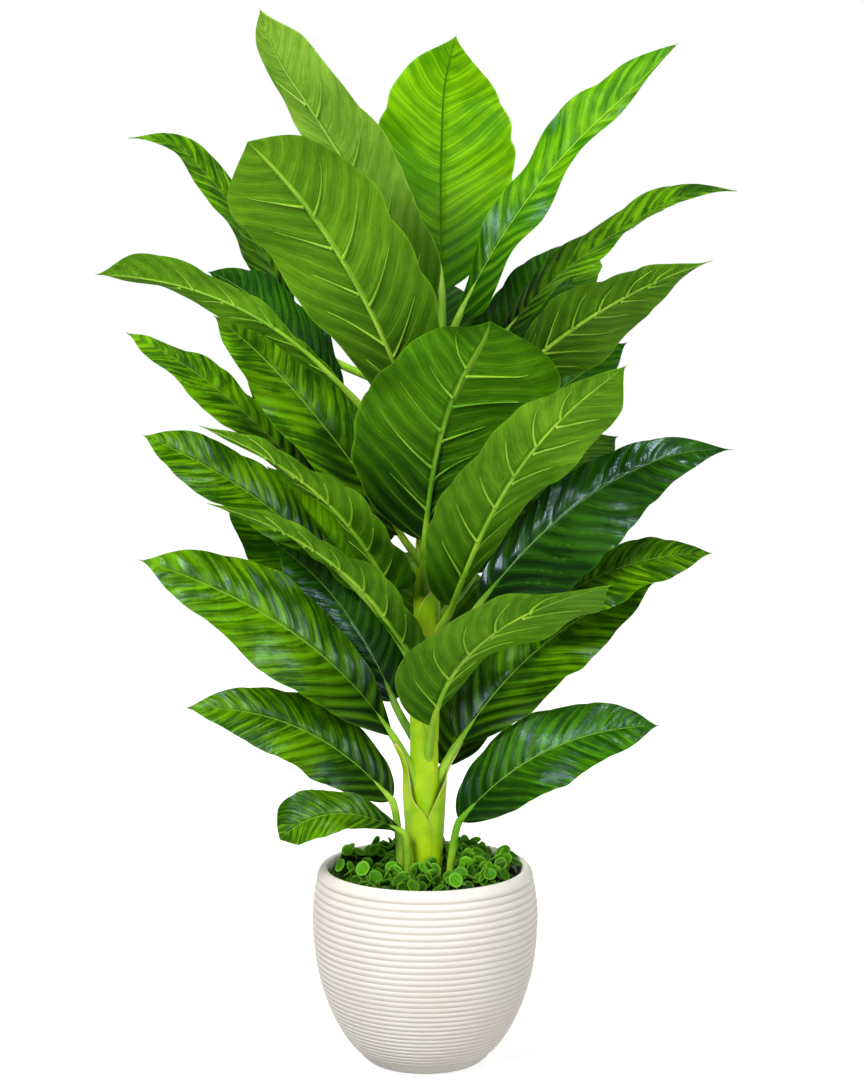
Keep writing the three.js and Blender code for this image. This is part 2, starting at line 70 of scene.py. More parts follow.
# leaf: a waxy upper side with soft pleats, and a matt underside with fine streaks between raised veins
def leafSkin(name, look):
    material, tree = newMaterial(name)
    # blade map: x from the midrib to the margin, y from foot to tip. vein map: x counts the side veins
    blade = addNode(tree, "ShaderNodeUVMap", uv_map="blade").outputs[0]
    veins = addNode(tree, "ShaderNodeUVMap", uv_map="veins").outputs[0]
    across, along, _ = addNode(tree, "ShaderNodeSeparateXYZ", {0: blade}).outputs
    count = addNode(tree, "ShaderNodeSeparateXYZ", {0: veins}).outputs[0]
    crest = addNode(tree, "ShaderNodeMath", {0: count, 1: 0.5}, operation="PINGPONG").outputs[0]
    vein = addNode(tree, "ShaderNodeMapRange", {
        "Value": crest, "From Min": look["veinWidth"], "From Max": 0.0,
    }, interpolation_type="SMOOTHSTEP").outputs[0]
    fade = addNode(tree, "ShaderNodeMapRange", {
        "Value": across, "From Min": look["veinEnd"], "From Max": look["veinEnd"] - 0.4,
        "To Max": look["veinShow"],
    }).outputs[0]
    sideVein = addNode(tree, "ShaderNodeMath", {0: vein, 1: fade}, operation="MULTIPLY").outputs[0]
    midrib = addNode(tree, "ShaderNodeMapRange", {
        "Value": across, "From Min": look["midrib"], "From Max": look["midrib"] * 0.4,
    }, interpolation_type="SMOOTHSTEP").outputs[0]
    ribs = addNode(tree, "ShaderNodeMath", {0: sideVein, 1: midrib}, operation="MAXIMUM").outputs[0]
    streak = addNode(tree, "ShaderNodeTexNoise", {
        "Vector": veins, "Scale": look["streaks"], "Detail": 3.0, "Roughness": 0.55,
    }).outputs[0]
    place = addNode(tree, "ShaderNodeTexCoord").outputs["Object"]
    cloud = addNode(tree, "ShaderNodeTexNoise", {
        "Vector": place, "Scale": 16.0, "Detail": 4.0, "Roughness": 0.6,  # blotches about 60 mm wide
    }).outputs[0]
    mottle = addNode(tree, "ShaderNodeMath", {0: streak, 1: cloud}, operation="ADD").outputs[0]
    bright = addNode(tree, "ShaderNodeMapRange", {
        "Value": mottle, "From Min": 1 - look["contrast"], "From Max": 1 + look["contrast"],
    }, interpolation_type="SMOOTHSTEP").outputs[0]
    body = addNode(tree, "ShaderNodeMix", {
        "Factor": bright, 6: look["deep"], 7: look["fresh"],
    }, data_type="RGBA").outputs[2]
    # painted shade: the hollows between pleats and the foot of the blade are darkened toward the shade
    # colour, standing in for the shade that falls there
    pleatShade = addNode(tree, "ShaderNodeMapRange", {
        "Value": crest, "From Min": 0.1, "From Max": 0.5, "To Max": look["pleatShade"],
    }).outputs[0]
    # painted shade at the foot: darker from halfway along the blade down to its foot
    foot = addNode(tree, "ShaderNodeMapRange", {
        "Value": along, "From Min": 0.5, "From Max": 0.0, "To Max": look["foot"],
    }).outputs[0]
    paintedShade = addNode(tree, "ShaderNodeMath", {
        0: pleatShade, 1: foot,
    }, operation="ADD", use_clamp=True).outputs[0]
    body = addNode(tree, "ShaderNodeMix", {
        "Factor": paintedShade, 6: body, 7: look["shade"],
    }, data_type="RGBA").outputs[2]
    # veins take the rib colour: their own paler green, but a painted dark on the backlit young leaves, as
    # veins look against the light
    body = addNode(tree, "ShaderNodeMix", {
        "Factor": ribs, 6: body, 7: look["rib"],
    }, data_type="RGBA").outputs[2]
    margin = addNode(tree, "ShaderNodeMapRange", {
        "Value": across, "From Min": 0.965, "From Max": 1.0, "To Max": 0.5,
    }).outputs[0]
    body = addNode(tree, "ShaderNodeMix", {
        "Factor": margin, 6: body, 7: look["edge"],
    }, data_type="RGBA").outputs[2]
    raised = addNode(tree, "ShaderNodeMath", {
        0: ribs, 1: look["raise"], 2: streak,
    }, operation="MULTIPLY_ADD").outputs[0]
    bump = addNode(tree, "ShaderNodeBump", {
        "Height": raised, "Strength": 0.8, "Distance": look["relief"] * mm,
    }).outputs[0]
    skin = addNode(tree, "ShaderNodeBsdfPrincipled", {
        "Base Color": body, "Normal": bump, "Roughness": look["roughness"], "IOR": 1.45,
        "Specular IOR Level": look["gloss"],
    }).outputs[0]
    # light that shines through a leaf comes out yellower and richer
    glow = addNode(tree, "ShaderNodeHueSaturation", {
        "Color": body, "Hue": 0.482, "Saturation": 1.15, "Value": 1.7,
    }).outputs[0]
    through = addNode(tree, "ShaderNodeBsdfTranslucent", {"Color": glow}).outputs[0]
    mixed = addNode(tree, "ShaderNodeMixShader", {0: look["through"], 1: skin, 2: through}).outputs[0]
    addNode(tree, "ShaderNodeOutputMaterial", {0: mixed})
    return material


# pleatShade, foot and shade set the painted shade: how far the hollows between pleats and the foot of the
# blade darken, and the colour they darken toward
upperLook = {
    "veinWidth": 0.08, "veinEnd": 1.1, "veinShow": 0.12, "midrib": 0.022, "streaks": 3.2,
    "pleatShade": 0.52,
    "foot": 0.85, "raise": 0.5, "relief": 0.6, "roughness": 0.28, "gloss": 0.34, "through": 0.12,
    "contrast": 0.16,
    "fresh": "#649f02", "deep": "#255401", "shade": "#0a2701", "rib": "#74a52c", "edge": "#5c9c06",
}
underLook = {
    "veinWidth": 0.07, "veinEnd": 0.9, "veinShow": 0.3, "midrib": 0.05, "streaks": 9.0, "pleatShade": 0.3,
    "foot": 0.85, "raise": 0.8, "relief": 0.9, "roughness": 0.55, "gloss": 0.12, "through": 0.12,
    "contrast": 0.24,
    "fresh": "#6b9f18", "deep": "#50840c", "shade": "#193f02", "rib": "#8cba34", "edge": "#80b024",
}
# what differs from those two looks in each tone of leaf, some of them lit or shaded copies, then the colour
# of its stalk and veins
tones = {
    "mature": ({}, {}, "#98c232"),
    "deep": (
        {"fresh": "#2c6604", "deep": "#123e02", "shade": "#082302", "rib": "#5f8f30", "edge": "#2c6604",
         "roughness": 0.22, "gloss": 0.5, "through": 0.05},
        {"fresh": "#447c0a", "deep": "#2c5e05", "shade": "#173f03"},
        "#86b034",
    ),
    # a painted shaded copy of the mature look: darker greens, and full painted shade at the foot of the
    # underside
    "shadedMature": (
        {"fresh": "#478a06", "deep": "#1f5202", "shade": "#0c2f01", "gloss": 0.34, "roughness": 0.26},
        {"fresh": "#5c9c0c", "deep": "#3c7805", "shade": "#0f3001", "foot": 1.0},
        "#98c230",
    ),
    "fresh": (
        {"fresh": "#66a206", "deep": "#327402", "shade": "#184802", "rib": "#98c23c", "edge": "#6cb00e",
         "through": 0.18},
        {"fresh": "#76ae20", "deep": "#548c0e", "shade": "#2c5e05", "through": 0.14},
        "#a4cc36",
    ),
    # a young leaf's paler green, painted brighter as if lit from behind, with its veins painted dark as they
    # look against that light
    "youngBacklit": (
        {"fresh": "#8cc40a", "deep": "#5c9c04", "shade": "#347403", "rib": "#3f7c08", "edge": "#a4d424",
         "veinShow": 0.7, "veinEnd": 1.0, "pleatShade": 0.5, "through": 0.45, "roughness": 0.42,
         "gloss": 0.1},
        {"fresh": "#98bc48", "deep": "#76a02c", "shade": "#4c7c16", "rib": "#568a1a", "edge": "#a6ca56",
         "veinShow": 0.5, "through": 0.32},
        "#7cac28",
    ),
}


# stalks, veins and cane: smooth stem with fine lengthwise fibres, and papery rims on the sheaths
def stemSkin(name, look):
    material, tree = newMaterial(name)
    place = addNode(tree, "ShaderNodeTexCoord").outputs["Object"]
    stretched = addNode(tree, "ShaderNodeMapping", {0: place, "Scale": (1.0, 1.0, 0.06)}).outputs[0]
    fibre = addNode(tree, "ShaderNodeTexNoise", {
        "Vector": stretched, "Scale": 450.0, "Detail": 3.0,
    }).outputs[0]
    patch = addNode(tree, "ShaderNodeTexNoise", {
        "Vector": place, "Scale": 28.0, "Detail": 4.0,
    }).outputs[0]
    blotch = addNode(tree, "ShaderNodeMapRange", {
        "Value": patch, "From Min": 0.38, "From Max": 0.64,
    }).outputs[0]
    body = addNode(tree, "ShaderNodeMix", {
        "Factor": blotch, 6: look["deep"], 7: look["fresh"],
    }, data_type="RGBA").outputs[2]
    thread = addNode(tree, "ShaderNodeMapRange", {
        "Value": fibre, "From Min": 0.5, "From Max": 0.75, "To Max": 0.3,
    }).outputs[0]
    body = addNode(tree, "ShaderNodeMix", {
        "Factor": thread, 6: body, 7: look["deep"],
    }, data_type="RGBA").outputs[2]
    blade = addNode(tree, "ShaderNodeUVMap", uv_map="blade").outputs[0]
    along = addNode(tree, "ShaderNodeSeparateXYZ", {0: blade}).outputs[1]
    rim = addNode(tree, "ShaderNodeMapRange", {
        "Value": along, "From Min": 0.982, "From Max": 0.992,
    }).outputs[0]
    body = addNode(tree, "ShaderNodeMix", {
        "Factor": rim, 6: body, 7: look["rim"],
    }, data_type="RGBA").outputs[2]
    bump = addNode(tree, "ShaderNodeBump", {
        "Height": fibre, "Strength": 0.3, "Distance": 0.4 * mm,
    }).outputs[0]
    skin = addNode(tree, "ShaderNodeBsdfPrincipled", {
        "Base Color": body, "Normal": bump, "Roughness": look["roughness"], "IOR": 1.45,
        "Subsurface Weight": 0.12, "Subsurface Radius": (0.3, 0.6, 0.1), "Subsurface Scale": 4 * mm,
    }).outputs[0]
    addNode(tree, "ShaderNodeOutputMaterial", {0: skin})
    return material


skins = {}
for tone, (upperChange, underChange, stalkColour) in tones.items():
    skins[tone] = [
        leafSkin("waxyLeafTop_" + tone, {**upperLook, **upperChange}),
        leafSkin("mattLeafUnderside_" + tone, {**underLook, **underChange}),
        stemSkin("leafStalk_" + tone, {
            "fresh": stalkColour, "deep": underChange.get("fresh", underLook["fresh"]),
            "rim": stalkColour,
            "roughness": 0.45,
        }),
    ]
print("leaf materials made:", 3 * len(skins))


# a grid whose points are placed by shape(column, row) in millimetres, with both from 0 to 1, and mapped by
# chart. skin gives the material's number for a column
def shapedGrid(bm, columns, rows, shape, chart, skin=lambda column: 0):
    verts = bmesh.ops.create_grid(bm, x_segments=columns, y_segments=rows, size=0.5)["verts"]
    spots = {vert: (vert.co.x + 0.5, vert.co.y + 0.5) for vert in verts}
    faces = list({face for vert in verts for face in vert.link_faces})
    for face in faces:
        face.material_index = skin(sum(spots[vert][0] for vert in face.verts) / 4)
        face.smooth = True
        for loop in face.loops:
            for layer, uv in zip(bm.loops.layers.uv.values(), chart(*spots[loop.vert])):
                loop[layer].uv = uv
    for vert, spot in spots.items():
        vert.co = shape(*spot) * mm
    bmesh.ops.remove_doubles(bm, verts=verts, dist=1e-7)  # closes the seam and the poles of a tube
    return faces


def newPiece(name, bm, materials, nodes):
    mesh = bpy.data.meshes.new(name)
    bm.to_mesh(mesh)
    bm.free()
    for material in materials:
        mesh.materials.append(material)
    piece = bpy.data.objects.new(name, mesh)
    bpy.context.scene.collection.objects.link(piece)
    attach(piece, "root")
    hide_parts(*nodes)
    return piece


def leafMesh():
    bm = bmesh.new()
    for name in ("blade", "veins"):
        bm.loops.layers.uv.new(name)
    return bm


def cubic(a, b, c, d, t):
    return a * (1 - t) ** 3 + b * (3 * t * (1 - t) ** 2) + c * (3 * t * t * (1 - t)) + d * t ** 3


# cane: its line and taper, and the sheaths that wrap it: height of the foot, length, direction of the high
# side, how far the rim stands off, the leaf whose stalk it wraps, and how far a tongue runs up that stalk
cane = {
    "line": [(0, 0, 120), (0, 0, 300), (1, 0, 480), (9, 2, 610), (19, 5, 722)],
    "soilTop": 178, "footRadius": 15.0, "topRadius": 8.0,
    "sheaths": [
        (187, 88, 209, 9.5, "left_fifth", 56),
        (190, 108, 13, 9.5, "right_under", 24),
        (247, 130, 200, 3, "", 0),
        (330, 96, 20, 3, "", 0),
        (388, 96, 300, 3, "", 0),
        (452, 90, 160, 3, "", 0),
        (520, 90, 40, 3, "", 0),
        (590, 84, 250, 3, "", 0),
    ],
    "coreGrid": (32, 120), "sheathGrid": (72, 30), "bumps": 0.03, "sheathThickness": 0.7,
    "look": {"fresh": "#b4d614", "deep": "#8aba08", "rim": "#cdb878", "roughness": 0.4},
}


def caneCentre(z):
    line = cane["line"]
    for low, high in zip(line, line[1:]):
        if z <= high[2] or high is line[-1]:
            t = (z - low[2]) / (high[2] - low[2])
            return Vector(low).lerp(Vector(high), t)


def caneRadius(z):
    t = min(1.0, max(0.0, (z - cane["soilTop"]) / (cane["line"][-1][2] - cane["soilTop"])))
    return cane["footRadius"] + (cane["topRadius"] - cane["footRadius"]) * t


# leaves: the same places and curves as the solids, in millimetres, with the tone of each leaf, the depth of
# its pleats, how far it bulges between its raised veins, and how many of those each half has underneath
leafForm = {
    "columns": 36, "rows": 128, "thickness": 0.9, "neckRadius": 3.8, "pegDepth": 24, "tailStart": 0.99,
    "hookStart": 0.78, "cusp": 0.12, "veins": 15.0, "sweep": 0.22, "firstWire": 0.07, "wireSpan": 0.76,
    "wireEnd": 0.72, "scallop": 0.04, "ragged": 0.04, "lumps": 3.0, "groove": 0.8, "grooveWidth": 2.2,
    "narrow": 16, "wander": 0.35, "mapSpacing": 40, "stalkShare": 0.45, "ribEnd": 0.96, "ribTip": 0.4,
    "pegShare": 0.12, "wireRadius": 1.2, "wireRoot": 0.8, "wireTip": 0.5,
}
leafDefaults = {
    "stalk": 5.5, "sway": 0.35, "hook": [0, 0, 0], "swell": 0.56, "taper": 0.74, "lean": 0,
    "skew": 0, "fold": 0.15,
    "curl": 0.1, "wave": 4, "waves": 16, "phase": 0, "tone": "mature", "pleat": 0.7, "quilt": 1.2,
    "wires": 5,
}
leaves = [
    {
        "name": "leaf_top_left", "tone": "youngBacklit", "stalk": 5, "root": 640, "width": 76, "pleat": 0.3,
        "quilt": 1.5, "wires": 4, "swell": 0.4, "taper": 0.35, "lean": -0.35, "skew": 0.3, "wave": 5,
        "base": [0, -18, 771], "crest": [-80, -45, 913], "tip": [-168, -75, 1042], "hook": [12, 0, 10],
        "face": [6, 8, 1],
    },
    {
        "name": "leaf_top_centre", "tone": "youngBacklit", "stalk": 5, "root": 680, "width": 142,
        "swell": 0.62,
        "taper": 0.55, "lean": 0.05, "wave": 5, "phase": 2,
        "base": [17, 42, 782], "crest": [16, 82, 903], "tip": [21, 86, 1023], "hook": [11, -14, 16],
        "face": [0, -10, 1],
    },
    {
        "name": "leaf_top_right", "tone": "fresh", "stalk": 5, "root": 675, "width": 54, "swell": 0.25,
        "taper": 0.3, "lean": -0.15, "skew": -1.4, "fold": 0.2, "wave": 7, "phase": 3.2,
        "base": [35, 4, 760], "crest": [120, 18, 896], "tip": [241, 38, 1006], "hook": [11, 0, 22],
        "face": [-6, -7, 2],
    },
    {
        "name": "leaf_upper_left_front", "root": 560, "width": 136, "pleat": 0.25, "quilt": 2,
        "swell": 0.55,
        "taper": 0.35, "lean": -0.04, "skew": 0.3, "fold": 0.1, "wave": 6, "phase": 3,
        "base": [0, -36, 640], "crest": [-74, -112, 809], "tip": [-164, -160, 925], "face": [3, 8, 2],
    },
    {
        "name": "leaf_upper_left_arch", "root": 622, "width": 72, "swell": 0.7, "taper": 0.95,
        "lean": -0.1,
        "skew": 0.4, "fold": 0.2,
        "base": [-138, 106, 754], "crest": [-193, 104, 861], "tip": [-287, 86, 959],
        "hook": [-16, 0, -24],
        "face": [5, -4, 5],
    },
    {
        "name": "leaf_left_long", "tone": "fresh", "root": 545, "width": 52, "pleat": 0.25,
        "quilt": 1.8,
        "swell": 1.1, "taper": 0.65, "lean": 0.3, "skew": -2, "fold": 0.3, "phase": 1,
        "base": [-68, -18, 675], "crest": [-178, -55, 768], "tip": [-315, -88, 801], "face": [2, 6, 6],
    },
    {
        "name": "leaf_left_dark", "root": 485, "width": 100, "pleat": 0.8, "fold": 0.2, "phase": 2,
        "base": [-24, -14, 541], "crest": [-118, -6, 671], "tip": [-210, 0, 759], "face": [4, -6, 4],
    },
    {
        "name": "leaf_left_third", "root": 435, "width": 64, "pleat": 1.1, "quilt": 2, "lean": -0.25,
        "fold": 0.2, "phase": 3,
        "base": [-115, 8, 592], "crest": [-204, 20, 681], "tip": [-300, 25, 741], "face": [3, -4, 5],
    },
    {
        "name": "leaf_left_fourth", "root": 342, "width": 66, "pleat": 0.9, "swell": 0.7, "taper": 0.6,
        "base": [-96, 5, 513], "crest": [-182, 5, 585], "tip": [-282, 0, 640], "face": [2, -7, 5],
    },
    {
        "name": "leaf_left_narrow_upper", "tone": "fresh", "root": 410, "width": 72, "pleat": 0.25,
        "quilt": 3,
        "wires": 6, "swell": 0.3, "taper": 0.8, "lean": -0.08, "skew": 0.3, "fold": 0.25, "phase": 1,
        "base": [-34, -20, 486], "crest": [-103, -80, 590], "tip": [-215, -115, 659], "face": [5, 5, 6],
    },
    {
        "name": "leaf_left_narrow_lower", "tone": "fresh", "root": 340, "width": 72, "pleat": 0.25,
        "quilt": 3,
        "wires": 6, "swell": 0.35, "skew": 0.6, "fold": 0.25, "phase": 2,
        "base": [-13, -24, 421], "crest": [-92, -75, 524], "tip": [-210, -100, 583], "face": [5, 4, 6],
    },
    {
        "name": "leaf_left_fifth", "stalk": 8, "root": 226, "width": 96, "pleat": 1.2, "wires": 6,
        "swell": 0.9,
        "taper": 0.75, "lean": -0.12, "skew": 0.6, "wave": 5, "phase": 3,
        "base": [-32, -12, 336], "crest": [-134, -14, 444], "tip": [-287, -16, 517], "face": [3, -7, 4],
    },
    {
        "name": "leaf_left_lowest", "stalk": 4, "sway": 0.1, "root": [-25, -6, 182], "width": 80,
        "pleat": 1,
        "swell": 0.62, "taper": 0.85, "lean": -0.05,
        "base": [-34, -8, 270], "crest": [-127, -12, 345], "tip": [-243, -15, 366], "face": [2, -7, 5],
    },
    {
        "name": "leaf_left_small", "stalk": 4, "sway": 0.1, "root": [-17, -25, 182], "width": 54,
        "pleat": 0.35,
        "swell": 0.9, "taper": 0.3, "lean": 0.1, "fold": 0.2, "wave": 3, "phase": 1,
        "base": [-22, -30, 242], "crest": [-87, -50, 266], "tip": [-143, -60, 244], "hook": [-2, 0, -3],
        "face": [0, -6, 5],
    },
    {
        "name": "leaf_left_back_gloss", "tone": "deep", "root": 290, "width": 82, "phase": 2,
        "base": [-32, 16, 367], "crest": [-84, 34, 460], "tip": [-153, 46, 524], "face": [2, -9, 2],
    },
    {
        "name": "leaf_front_round", "tone": "shadedMature", "root": 440, "width": 156, "pleat": 0.2,
        "quilt": 1.8,
        "swell": 0.65, "taper": 0.5, "lean": 0.05, "skew": -1.15, "fold": 0.1, "curl": 0.15, "wave": 6,
        "base": [0, -32, 537], "crest": [24, -84, 670], "tip": [70, -175, 759], "hook": [-9, 0, 2],
        "face": [1, 8, 3],
    },
    {
        "name": "leaf_front_right", "tone": "fresh", "root": 402, "width": 96, "pleat": 0.25,
        "quilt": 2.2,
        "wires": 6, "swell": 0.6, "taper": 0.55, "lean": 0.05, "skew": -1.1, "wave": 5, "phase": 2,
        "base": [27, -26, 471], "crest": [88, -135, 618], "tip": [178, -190, 712], "hook": [9, 0, 9],
        "face": [-3, 8, 3],
    },
    {
        "name": "leaf_right_glossy", "tone": "deep", "root": 366, "width": 100, "pleat": 1.3,
        "wires": 6,
        "swell": 0.5, "taper": 0.9, "lean": 0.3, "skew": -0.4, "phase": 1,
        "base": [55, 5, 468], "crest": [166, 15, 578], "tip": [297, 10, 631], "hook": [14, 0, -7],
        "face": [-2, -7, 4],
    },
    {
        "name": "leaf_right_mid", "root": 335, "width": 74, "pleat": 1, "wires": 6, "lean": 0.15,
        "phase": 3,
        "base": [106, 0, 453], "crest": [191, 5, 504], "tip": [289, 0, 521], "face": [0, -5, 6],
    },
    {
        "name": "leaf_right_under", "stalk": 8, "root": 232, "width": 104, "pleat": 1.1,
        "base": [35, 8, 327], "crest": [123, 40, 423], "tip": [236, 55, 483], "face": [-3, -6, 4],
    },
    {
        "name": "leaf_front_low_right", "tone": "fresh", "stalk": 7, "root": 250, "width": 118,
        "pleat": 0.3,
        "quilt": 2.2, "swell": 0.9, "taper": 0.7, "lean": -0.05, "skew": -1.6, "fold": 0.2, "wave": 5,
        "phase": 2,
        "base": [7, -29, 350], "crest": [57, -95, 449], "tip": [179, -150, 511], "face": [-3, 5, 5],
    },
    {
        "name": "leaf_right_lowest", "tone": "shadedMature", "stalk": 4, "sway": 0.1, "root": [25, -13, 182],
        "width": 84, "pleat": 1.1, "swell": 0.62, "phase": 1,
        "base": [35, -14, 250], "crest": [124, -15, 323], "tip": [237, -15, 348], "face": [-1, -7, 5],
    },
    {
        "name": "leaf_right_arch", "root": 620, "width": 66, "pleat": 1.2, "lean": -0.1, "skew": -0.4,
        "fold": 0.2, "phase": 2,
        "base": [80, 15, 740], "crest": [165, 30, 822], "tip": [308, 35, 904], "hook": [5, 0, -23],
        "face": [-4, -3, 6],
    },
    {
        "name": "leaf_right_veined", "root": 540, "width": 116, "pleat": 0.4, "quilt": 2.2, "wires": 6,
        "swell": 0.85, "taper": 1.5, "lean": -0.2, "skew": 0.4,
        "base": [74, -14, 690], "crest": [173, -45, 767], "tip": [277, -70, 814], "face": [-3, 6, 6],
    },
    {
        "name": "leaf_right_dark", "tone": "deep", "root": 500, "width": 80, "fold": 0.2, "phase": 3,
        "base": [45, 18, 623], "crest": [127, 40, 677], "tip": [205, 50, 730], "face": [-3, -6, 4],
    },
    {
        "name": "leaf_left_behind_long", "tone": "deep", "root": 598, "width": 74, "fold": 0.2,
        "phase": 2,
        "base": [-86, 46, 672], "crest": [-153, 47, 757], "tip": [-219, 46, 801], "face": [4, -5, 4],
    },
    {
        "name": "leaf_left_wavy_back", "tone": "deep", "root": 475, "width": 74, "fold": 0.2, "wave": 6,
        "base": [-76, 64, 552], "crest": [-131, 92, 636], "tip": [-187, 96, 700], "face": [3, -6, 4],
    },
    {
        "name": "leaf_left_back_low", "root": 385, "width": 84, "phase": 1,
        "base": [-70, 112, 440], "crest": [-143, 112, 505], "tip": [-208, 116, 563], "face": [3, -6, 4],
    },
    {
        "name": "leaf_left_bright_inner", "tone": "youngBacklit", "root": 402, "width": 54, "fold": 0.2,
        "phase": 2,
        "base": [-54, 30, 474], "crest": [-106, 34, 542], "tip": [-161, 36, 606], "face": [3, -6, 3],
    },
    {
        "name": "leaf_right_back_high", "tone": "deep", "root": 585, "width": 84, "phase": 3,
        "base": [43, 44, 672], "crest": [102, 95, 759], "tip": [151, 120, 830], "face": [-3, -6, 3],
    },
    {
        "name": "leaf_back_left_high", "tone": "fresh", "root": 648, "width": 110, "wave": 5,
        "phase": 1,
        "base": [-20, 60, 740], "crest": [-60, 120, 850], "tip": [-120, 200, 930], "face": [3, -6, 4],
    },
    {
        "name": "leaf_back_right_high", "root": 518, "width": 110, "wave": 5,
        "base": [60, 100, 650], "crest": [120, 175, 760], "tip": [190, 240, 815], "face": [-4, -6, 5],
    },
    {
        "name": "leaf_back_centre", "tone": "deep", "root": 576, "width": 120, "wave": 5, "phase": 2,
        "base": [10, 60, 620], "crest": [10, 150, 730], "tip": [0, 260, 790], "face": [0, -6, 5],
    },
    {
        "name": "leaf_back_left_middle", "root": 440, "width": 110, "wave": 5, "phase": 3,
        "base": [-40, 90, 520], "crest": [-110, 150, 600], "tip": [-190, 230, 640], "face": [3, -5, 6],
    },
    {
        "name": "leaf_back_right_middle", "root": 410, "width": 116, "wave": 5, "phase": 1,
        "base": [50, 70, 490], "crest": [120, 150, 580], "tip": [210, 220, 620], "face": [-3, -5, 6],
    },
    {
        "name": "leaf_back_low", "root": 310, "width": 100, "wave": 5,
        "base": [18, 64, 384], "crest": [12, 150, 464], "tip": [-12, 250, 494], "face": [0, -5, 6],
    },
    {
        "name": "leaf_back_lowest", "root": 230, "width": 92, "phase": 2,
        "base": [20, 60, 290], "crest": [60, 130, 360], "tip": [110, 210, 380], "face": [-2, -5, 6],
    },
]
leaves = [{**leafDefaults, **leaf} for leaf in leaves]


# share of the full half width at s, from 0 at the blade's foot to 1 at its tip
def bladeOutline(leaf, s):
    if s <= 0:
        return 0

    def shape(t):
        return t ** leaf["swell"] * (1 - t) ** leaf["taper"]

    cusp = min(1, (1 - s) / leafForm["cusp"])
    widest = leaf["swell"] / (leaf["swell"] + leaf["taper"])
    return cusp * (2 - cusp) * shape(min(s / leafForm["tailStart"], 1)) / shape(widest)


def archControl(leaf):
    return Vector(leaf["crest"]) * 2 - (Vector(leaf["base"]) + Vector(leaf["tip"])) * 0.5


# a stalk rises from the cane or the soil and curves over to the foot of its blade
def stalkCurve(leaf):
    base = Vector(leaf["base"])
    root = Vector(leaf["root"]) if isinstance(leaf["root"], list) else caneCentre(leaf["root"])
    distance = (base - root).length
    slope = (archControl(leaf) - base).normalized()
    return root, root + Vector((0, 0, distance * 0.4)), base - slope * (distance * leaf["sway"]), base


def stalkRadius(leaf, t):
    return leaf["stalk"] + (leafForm["neckRadius"] - leaf["stalk"]) * t


